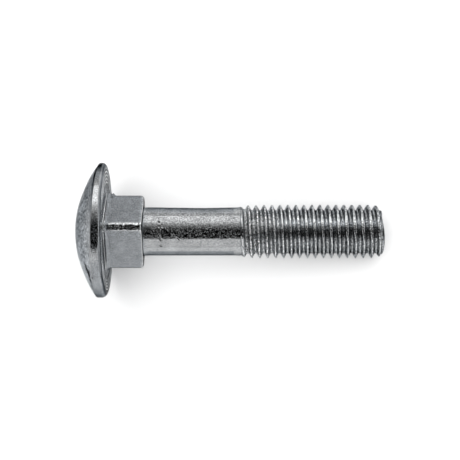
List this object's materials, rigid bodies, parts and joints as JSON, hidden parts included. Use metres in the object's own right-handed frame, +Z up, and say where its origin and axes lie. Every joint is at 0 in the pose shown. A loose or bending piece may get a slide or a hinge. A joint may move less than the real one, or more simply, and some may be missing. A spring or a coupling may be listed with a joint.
{
  "type": "carriage bolt",
  "caption": "Zinc-plated steel carriage bolt with a domed cup head, a square neck that locks it in timber or slotted steel, and a threaded end.",
  "frame": {"origin": "centre of the lying bolt's bounding box, on the floor it lies on", "axes": "+X along the bolt, from the head to the tip; the bolt's axis falls 8.47 degrees towards the tip, because it lies on its head's rim and its thread; +Z up, with one corner of the square neck uppermost"},
  "size_m": [0.0676, 0.0296, 0.0294],
  "materials": {
    "zinc_plated_steel": "bright zinc plating, bluish grey, satin, with rolling and forging marks"
  },
  "bodies": {
    "root": {"bolt": "zinc_plated_steel"}
  },
  "joints": []
}
